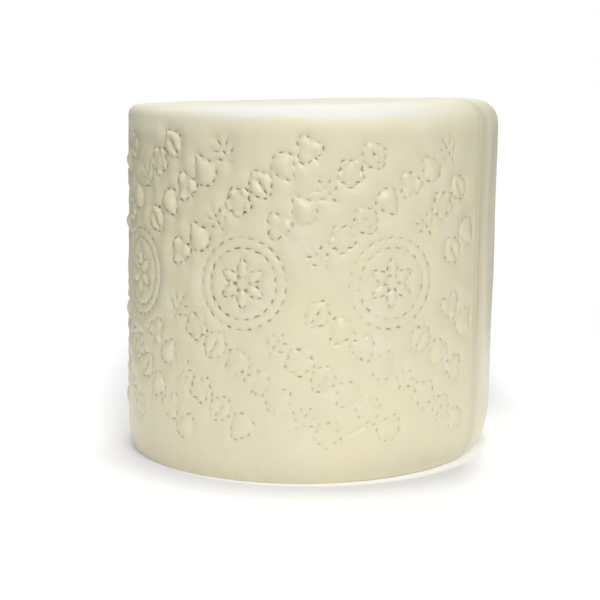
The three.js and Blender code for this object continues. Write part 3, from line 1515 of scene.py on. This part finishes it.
@dataclass(frozen=True)
class DrumGrid:
    """How closely the points of the drum's mesh lie, in millimetres.

    Args:
        side: from column to column of the plain side.
        top: the same for the top.
        base: the same for the base.
        border: from point to point of the rings round the top and the base.
        upright: from point to point of the line where the side's flat frame closes.
        clear: how far inside the rings the side's other points stay.
        clear_across: how far they stay from the line where the flat frame closes.
        cap_clear: how many steps inside their rings the points of the flats stay.
        dash_floor: the places along half a dash of the points on its floor.
        dash_edge: the places along half a dash of the points on its long edges.
        dash_rim: the place of these edges and of its ends, where half a dash measures 1.
        dash_gap: how far apart the points of dashes stay.
        groove: from point to point along a groove.
        groove_start: how far along its stroke the first of them lies.
        groove_ahead: how far ahead of a point its groove's direction is taken.
        groove_rows: the rows of points beside the middle of a groove.
        groove_gap: how far apart the points of grooves stay.
        groove_clear: how far they stay from the points of dashes.
        line: from column to column at the two lines of the closure.
        line_reach: how far to either side of the lines this goes.
        line_clear: how far from the lines the closer rows of the top edge stay.
        band: from column to column between the two lines.
        band_rows: from row to row there.
        band_foot: where the lowest row there lies.
        fold: from point to point beside the small folds.
        fold_reach: how far from the folds this goes.
        fold_across: the left and the right end of the part of the side that holds them.
        fold_height: its lower and its upper end.
        rim: from row to row over the top edge.
        rim_reach: how far down from the top's flat this goes.
        rim_clear: how far it stays from the line where the flat frame closes.
        even_clear: the share of a column's width that even points keep from closer ones.
        plain_gap: how far apart the points outside the ornaments stay.
        plain_clear: how far they stay from the points of dashes and grooves.
    """

    side: float = 3.9
    top: float = 4.6
    base: float = 15.0
    border: float = 4.0
    upright: float = 2.5
    clear: float = 1.0
    clear_across: float = 0.5
    cap_clear: float = 0.6
    dash_floor: tuple[float, ...] = (-0.72, -0.36, 0.0, 0.36, 0.72)
    dash_edge: tuple[float, ...] = (-0.75, -0.25, 0.25, 0.75)
    dash_rim: float = 1.15
    dash_gap: float = 0.3
    groove: float = 2.4
    groove_start: float = 1.0
    groove_ahead: float = 0.5
    groove_rows: tuple[float, ...] = (-3.0, -1.5, 0.0, 1.5, 3.0)
    groove_gap: float = 0.9
    groove_clear: float = 0.75
    line: float = 0.8
    line_reach: float = 4.0
    line_clear: float = 5.0
    band: float = 1.3
    band_rows: float = 3.4
    band_foot: float = 4.0
    fold: float = 0.9
    fold_reach: float = 4.5
    fold_across: Span = (20.0, 72.0)
    fold_height: Span = (30.0, 75.0)
    rim: float = 2.4
    rim_reach: float = 26.0
    rim_clear: float = 2.0
    even_clear: float = 0.55
    plain_gap: float = 0.7
    plain_clear: float = 1.7


@dataclass
class CheeseDrum:
    """The whole drum as one mesh: pressed side, rounded edges, top and base.

    Args:
        form: the plain drum.
        pressed: the ornaments in its side.
        grid: how closely the points of its mesh lie.
        finish: its rind.
        wave_height: the height of the rind's wide waves.
        wave_width: their usual width.
        lump_height: the height of its small lumps.
        lump_width: their usual width.
        ground_fade: the heights between which the side's unevenness sets in.
        top_unevenness: how many times higher the waves are on the top.
        top_fade: the distance from the middle up to which they reach in full there.
        top_dish: how far the middle of the top sinks.
        dish_span: distances from the middle between which it does so.
    """

    form: DrumForm = field(default_factory=DrumForm)
    pressed: PressedRind = field(default_factory=PressedRind)
    grid: DrumGrid = DrumGrid()
    finish: RindFinish = RindFinish()
    wave_height: float = 0.55
    wave_width: float = 55.0
    lump_height: float = 0.16
    lump_width: float = 13.0
    ground_fade: Span = (2.0, 22.0)
    top_unevenness: float = 1.7
    top_fade: float = 95.0
    top_dish: float = 0.7
    dish_span: Span = (130.0, 20.0)

    def _stitch_points(self) -> Array:
        """Mesh points that follow every dash: its floor, its edges and its two ends.

        Returns:
            One row of across and travel for each point.
        """
        grid = self.grid
        floor = [(x, 0.0) for x in grid.dash_floor]
        edges = [(x, y) for y in (-grid.dash_rim, grid.dash_rim) for x in grid.dash_edge]
        shape = np.array([*floor, *edges, (-grid.dash_rim, 0.0), (grid.dash_rim, 0.0)])
        found = []
        for ornament in self.pressed.ornaments:
            for dash in ornament.dashes:
                local = shape * (dash.half_length, dash.half_width)
                found.append(turned(local, dash.heading) + dash.centre)
        return thinned(np.concatenate(found), grid.dash_gap)

    def _groove_points(self) -> Array:
        """Mesh points along the middle and the shoulders of every groove.

        Returns:
            One row of across and travel for each point.
        """
        grid = self.grid
        found = []
        for ornament in self.pressed.ornaments:
            for stroke in ornament.strokes:
                at = np.arange(grid.groove_start, travelled(stroke)[-1], grid.groove)
                middle = place_on(stroke, at)
                run = place_on(stroke, at + grid.groove_ahead) - middle + TINY
                side = np.stack([-run[:, 1], run[:, 0]], axis=1)
                side /= np.linalg.norm(side, axis=1, keepdims=True)
                found.extend(middle + offset * side for offset in grid.groove_rows)
        return thinned(np.concatenate(found), grid.groove_gap)

    def _closure_points(self) -> Array:
        """Closer columns of mesh points in and beside the mould's closure.

        Returns:
            One row of across and travel for each point.
        """
        grid = self.grid
        near, far = self.pressed.closure.edges(self.form)
        reach = grid.line_reach
        columns = np.concatenate(
            [
                np.arange(near - reach, near + reach, grid.line),
                np.arange(near + reach, far - reach, grid.band),
                np.arange(far - reach, far + reach, grid.line),
            ]
        )
        rows = np.arange(grid.band_foot, self.form.travel - grid.clear, grid.band_rows)
        return grid_points(columns, rows)

    def _fold_points(self) -> Array:
        """Closer mesh points at the small folds near the foot.

        Returns:
            One row of across and travel for each point.
        """
        grid = self.grid
        columns = np.arange(*grid.fold_across, grid.fold)
        rows = np.arange(*grid.fold_height, grid.fold)
        points = grid_points(columns, rows) + (0.0, self.form.lift)
        away = np.min([fold.away(self.form, points) for fold in self.pressed.folds], axis=0)
        return points[away < grid.fold_reach]

    def _plain_points(self) -> Array:
        """An even grid over the side, with closer points at the closure and the folds.

        Returns:
            One row of across and travel for each point.
        """
        form, grid = self.form, self.grid
        half = form.girth / 2
        columns = np.arange(-half + grid.side, half - grid.clear, grid.side)
        rows = np.arange(grid.side, form.travel - grid.clear, grid.side * ROW_PITCH)
        even = grid_points(columns, rows, grid.side / 2)
        closer = np.concatenate([self._closure_points(), self._fold_points()])
        return np.concatenate([closer, spaced(even, closer, grid.even_clear * grid.side)])

    def _rim_points(self) -> Array:
        """Closer rows over the top edge, which shows as a bright band.

        Returns:
            One row of across and travel for each point.
        """
        form, grid = self.form, self.grid
        half = form.girth / 2 - grid.rim_clear
        rows = np.arange(form.travel - grid.rim_reach, form.travel - grid.clear, grid.rim)
        points = grid_points(np.arange(-half, half, grid.side), rows)
        near, far = self.pressed.closure.edges(form)
        across = points[:, 0]
        return points[(across < near - grid.line_clear) | (across > far + grid.line_clear)]

    def _side_layout(self) -> tuple[Array, int, int]:
        """Every mesh point of the side in its flat frame.

        Returns:
            The points, how many lie on each long border and how many on each short one.
            The lower border comes first, then the upper, the left and the right.
        """
        form, grid = self.form, self.grid
        half = form.girth / 2
        around = np.linspace(-half, half, round(form.girth / grid.border) + 1)
        climb = np.linspace(0.0, form.travel, round(form.travel / grid.upright) + 1)[1:-1]
        zero, top = np.zeros_like(around), np.full_like(around, form.travel)
        left, right = np.full_like(climb, -half), np.full_like(climb, half)
        border = np.concatenate(
            [
                np.stack([around, zero], axis=1),
                np.stack([around, top], axis=1),
                np.stack([left, climb], axis=1),
                np.stack([right, climb], axis=1),
            ]
        )
        stitches = self._wrapped(self._stitch_points())
        grooves = spaced(self._wrapped(self._groove_points()), stitches, grid.groove_clear)
        fine = np.concatenate([stitches, grooves])
        plain = np.concatenate([self._rim_points(), self._plain_points()])
        plain = spaced(thinned(plain, grid.plain_gap), fine, grid.plain_clear)
        return np.concatenate([border, fine, plain]), len(around), len(climb)

    def _wrapped(self, points: Array) -> Array:
        """Points brought into one turn round the drum, clear of the borders.

        Args:
            points: one row of across and travel for each point.

        Returns:
            The points that lie clear of the borders.
        """
        half, clear = self.form.girth / 2, self.grid.clear
        across = (points[:, 0] + half) % self.form.girth - half
        travel = points[:, 1]
        keep = (travel > clear) & (travel < self.form.travel - clear)
        keep &= np.abs(across) < half - self.grid.clear_across
        return np.stack([across, travel], axis=1)[keep]

    def _waves(self, points: Array) -> Array:
        """The gentle unevenness of the rind.

        Args:
            points: one row of x, y and z in millimetres for each place.

        Returns:
            How far the rind stands out at each place.
        """
        waves = np.empty(len(points))
        for i, point in enumerate(points):
            place = Vector(point)
            wide = noise.noise(place / self.wave_width)
            small = noise.noise(place / self.lump_width)
            waves[i] = self.wave_height * wide + self.lump_height * small
        return waves

    def _cap(self, ring: Array, nominal_radius: float, grid: float) -> tuple[Array, Array]:
        """The inner points and triangles of the flat that a ring of points closes.

        Args:
            ring: the points of the ring in space, in order round the drum.
            nominal_radius: the ring's radius on the plain drum.
            grid: the distance between its inner points.

        Returns:
            The inner points in space and the triangles, whose first numbers are the ring's.
        """
        count = len(ring)
        angle = 2 * math.pi * np.arange(count) / count - math.pi
        edge = np.stack([np.sin(angle), -np.cos(angle)], axis=1)
        step = grid / nominal_radius
        columns, rows = np.arange(-1.0, 1.0, step), np.arange(-1.0, 1.0, step * ROW_PITCH)
        inner = grid_points(columns, rows, step / 2)
        inner = inner[np.hypot(*inner.T) < 1 - self.grid.cap_clear * step]
        faces = triangles(np.concatenate([edge, inner]))
        around = np.arctan2(inner[:, 0], -inner[:, 1])
        reach = np.hypot(*inner.T)
        known = np.concatenate([angle, [math.pi]])
        closed = np.concatenate([ring, ring[:1]])
        middle = ring.mean(axis=0)
        rim = np.stack([np.interp(around, known, closed[:, k]) for k in range(3)], axis=1)
        return middle + (rim - middle) * reach[:, None], faces

    def _closed(self, count: int, ring_count: int, climb_count: int) -> Array:
        """Which point stands for each, as the side's right border is the left one again.

        Args:
            count: how many points the side has.
            ring_count: how many of them lie on each long border.
            climb_count: how many of them lie on each short border.

        Returns:
            The number of the point to use in place of each point.
        """
        same = np.arange(count)
        same[ring_count - 1] = 0
        same[2 * ring_count - 1] = ring_count
        left = 2 * ring_count + np.arange(climb_count)
        same[left + climb_count] = left
        return same

    def _top_relief(self, points: Array) -> Array:
        """The shallow unevenness of the top, which fades out at its edge.

        Args:
            points: one row of x, y and z in millimetres for each place on the top.

        Returns:
            How far the top rises at each place.
        """
        reach = np.hypot(points[:, 0], points[:, 1])
        fade = smoothstep(self.form.radius - self.form.rim_round, self.top_fade, reach)
        dish = self.top_dish * smoothstep(*self.dish_span, reach)
        return fade * (self.top_unevenness * self._waves(points) - dish)

    def build(self) -> bpy.types.Object:
        """Builds the drum as one closed mesh, with its marks stored as attributes.

        Returns:
            The drum, linked to the scene.
        """
        form, grid = self.form, self.grid
        flat, ring_count, climb_count = self._side_layout()
        faces = self._closed(len(flat), ring_count, climb_count)[triangles(flat)]
        places = form.side_point(flat[:, 0], flat[:, 1])
        out = form.side_normal(flat[:, 0], flat[:, 1])
        sink, pit, groove = self.pressed.press(flat)
        grounded = smoothstep(*self.ground_fade, places[:, 2])
        places += out * ((self._waves(places) - sink) * grounded)[:, None]

        low_ring = np.arange(ring_count - 1)
        high_ring = low_ring + ring_count
        base, base_faces = self._cap(places[low_ring], form.radius - form.base_in, grid.base)
        top, top_faces = self._cap(places[high_ring], form.radius - form.rim_round, grid.top)
        top[:, 2] += self._top_relief(top)
        base_index = np.concatenate([low_ring, len(places) + np.arange(len(base))])
        top_index = np.concatenate([high_ring, len(places) + len(base) + np.arange(len(top))])
        vertices = np.concatenate([places, base, top])
        faces = np.concatenate([faces, base_index[base_faces][:, ::-1], top_index[top_faces]])

        used = np.unique(faces)
        renumber = np.full(len(vertices), -1)
        renumber[used] = np.arange(len(used))
        vertices[:, 0] -= form.centre_shift
        mesh = mesh_from("drum_rind", vertices[used] * MM, renumber[faces])
        seam, painted_sheen = self.pressed.closure.tints(form, flat[:, 0] % form.girth)
        unmarked = np.zeros(len(base) + len(top))
        for name, values in (("pit", pit), ("groove", groove), ("seam", seam), ("painted_sheen", painted_sheen)):
            layer = mesh.attributes.new(name, "FLOAT", "POINT")
            stored = np.concatenate([values, unmarked])[used]
            layer.data.foreach_set("value", stored.astype(np.float32))
        piece = bpy.data.objects.new("drum_rind", mesh)
        bpy.context.scene.collection.objects.link(piece)
        log.info("drum_rind: %d vertices, %d faces", len(used), len(faces))
        return piece

    def dress(self, piece: bpy.types.Object) -> None:
        """Covers the drum with its rind."""
        piece.data.materials.append(self.finish.material())


# The studio -----------------------------------------------------------------------------


@dataclass(frozen=True)
class Lamp:
    """A soft square light that points at the drum.

    Args:
        name: the lamp's name.
        around: degrees round the drum, from the front towards the right.
        above: degrees above the level.
        distance: how far it hangs from the drum's middle, in metres.
        side: the length of its side, in metres.
        power: its power in watts.
        gleam_only: whether it adds only a gleam, and no light on dull surfaces.
    """

    name: str
    around: float
    above: float
    distance: float
    side: float
    power: float
    gleam_only: bool = False

    def build(self, aim: Vector) -> None:
        """Hangs the lamp and points it at a place.

        Args:
            aim: the place, in metres.
        """
        data = bpy.data.lights.new(self.name, "AREA")
        data.shape = "SQUARE"
        data.size = self.side
        data.energy = self.power
        lamp = bpy.data.objects.new(self.name, data)
        turn, climb = math.radians(self.around), math.radians(self.above)
        reach = self.distance * math.cos(climb)
        rise = self.distance * math.sin(climb)
        away = Vector((reach * math.sin(turn), -reach * math.cos(turn), rise))
        lamp.location = aim + away
        lamp.visible_diffuse = not self.gleam_only
        lamp.rotation_euler = (-away).to_track_quat("-Z", "Y").to_euler()
        bpy.context.scene.collection.objects.link(lamp)


@dataclass(frozen=True)
class Studio:
    """White floor, soft lamps, an even sky and the camera of the photograph.

    Args:
        floor_radius: the radius of the sheet of paper, in metres.
        floor_corners: how many corners its edge has.
        paper: its finish.
        sky: the strength of the light from all sides.
        lamps: the lamps.
        aim_height: the height at which they point, in metres.
        camera_distance: how far in front of the drum's foot the camera is, in metres.
        camera_height: its height in metres.
        camera_pitch: how far it looks down, in radians.
        camera_yaw: how far it looks to the left, in radians.
        focal_pixels: the distance of its picture, in pixels of the photograph.
        frame_pixels: the width of the photograph in pixels.
        sensor: the width of its sensor in millimetres.
        farthest: how far it sees, in metres.
    """

    floor_radius: float = 0.56
    floor_corners: int = 96
    paper: FloorFinish = FloorFinish()
    sky: float = 0.26
    lamps: tuple[Lamp, ...] = (
        Lamp("key", 12.0, 35.0, 1.5, 0.7, 11.4),
        Lamp("overhead", 180.0, 60.0, 1.8, 1.2, 6.0),
        Lamp("behind", 180.0, 12.0, 2.2, 1.6, 7.0),
        Lamp("top_left", -70.0, 70.0, 1.6, 1.2, 5.4),
        Lamp("left_gleam", -115.0, 45.0, 1.8, 0.9, 8.0, True),
    )
    aim_height: float = 0.14
    camera_distance: float = 1.1396
    camera_height: float = 0.2988
    camera_pitch: float = 0.1591
    camera_yaw: float = 0.0056
    focal_pixels: float = 1389.5
    frame_pixels: float = 600.0
    sensor: float = 36.0
    farthest: float = 50.0

    def build(self, foot_x: float) -> None:
        """Builds the studio.

        Args:
            foot_x: where the drum's foot stands on the X axis, in metres.
        """
        self._build_floor()
        self._build_sky()
        for lamp in self.lamps:
            lamp.build(Vector((0.0, 0.0, self.aim_height)))
        self._build_camera(foot_x)
        bpy.context.scene.view_settings.view_transform = "Standard"

    def _build_floor(self) -> None:
        """Lays a large round sheet of paper."""
        number = np.arange(self.floor_corners)
        angle = 2 * math.pi * number / self.floor_corners
        ring = np.stack([np.cos(angle), np.sin(angle), 0 * angle], axis=1) * self.floor_radius
        vertices = np.concatenate([[[0.0, 0.0, 0.0]], ring])
        faces = np.stack([0 * number, number + 1, (number + 1) % self.floor_corners + 1], axis=1)
        floor = bpy.data.objects.new("paper_floor", mesh_from("paper_floor", vertices, faces))
        bpy.context.scene.collection.objects.link(floor)
        floor.data.materials.append(self.paper.material())
        log.info("paper_floor: radius %.2f m", self.floor_radius)

    def _build_sky(self) -> None:
        """An even light from all sides, which the camera itself sees as white."""
        sheet = ShaderSheet(bpy.data.worlds.new("even_sky"))
        white = (1.0, 1.0, 1.0, 1.0)
        soft = sheet.node("ShaderNodeBackground", {}, {"Color": white, "Strength": self.sky})
        seen = sheet.node("ShaderNodeBackground", {}, {"Color": white, "Strength": 1.0})
        looking = sheet.node("ShaderNodeLightPath", {}, {}, "Is Camera Ray")
        light = sheet.node("ShaderNodeMixShader", {}, {0: looking, 1: soft, 2: seen})
        bpy.context.scene.world = sheet.finish(light)

    def _build_camera(self, foot_x: float) -> None:
        """Sets the camera where the photograph was taken.

        Args:
            foot_x: where the drum's foot stands on the X axis, in metres.
        """
        data = bpy.data.cameras.new("photo_camera")
        data.sensor_width = self.sensor
        data.lens = self.focal_pixels * self.sensor / self.frame_pixels
        data.clip_end = self.farthest
        camera = bpy.data.objects.new("photo_camera", data)
        camera.location = (foot_x, -self.camera_distance, self.camera_height)
        camera.rotation_euler = Euler((math.pi / 2 - self.camera_pitch, 0.0, self.camera_yaw))
        bpy.context.scene.collection.objects.link(camera)
        bpy.context.scene.camera = camera


def main() -> None:
    """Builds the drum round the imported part, and the studio round the drum."""
    logging.basicConfig(level=logging.INFO, format="%(message)s")
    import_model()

    drum = CheeseDrum()
    piece = drum.build()
    drum.dress(piece)
    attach(piece, "root")
    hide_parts(NODE)

    Studio().build(-drum.form.centre_shift * MM)


if __name__ == "__main__":
    main()
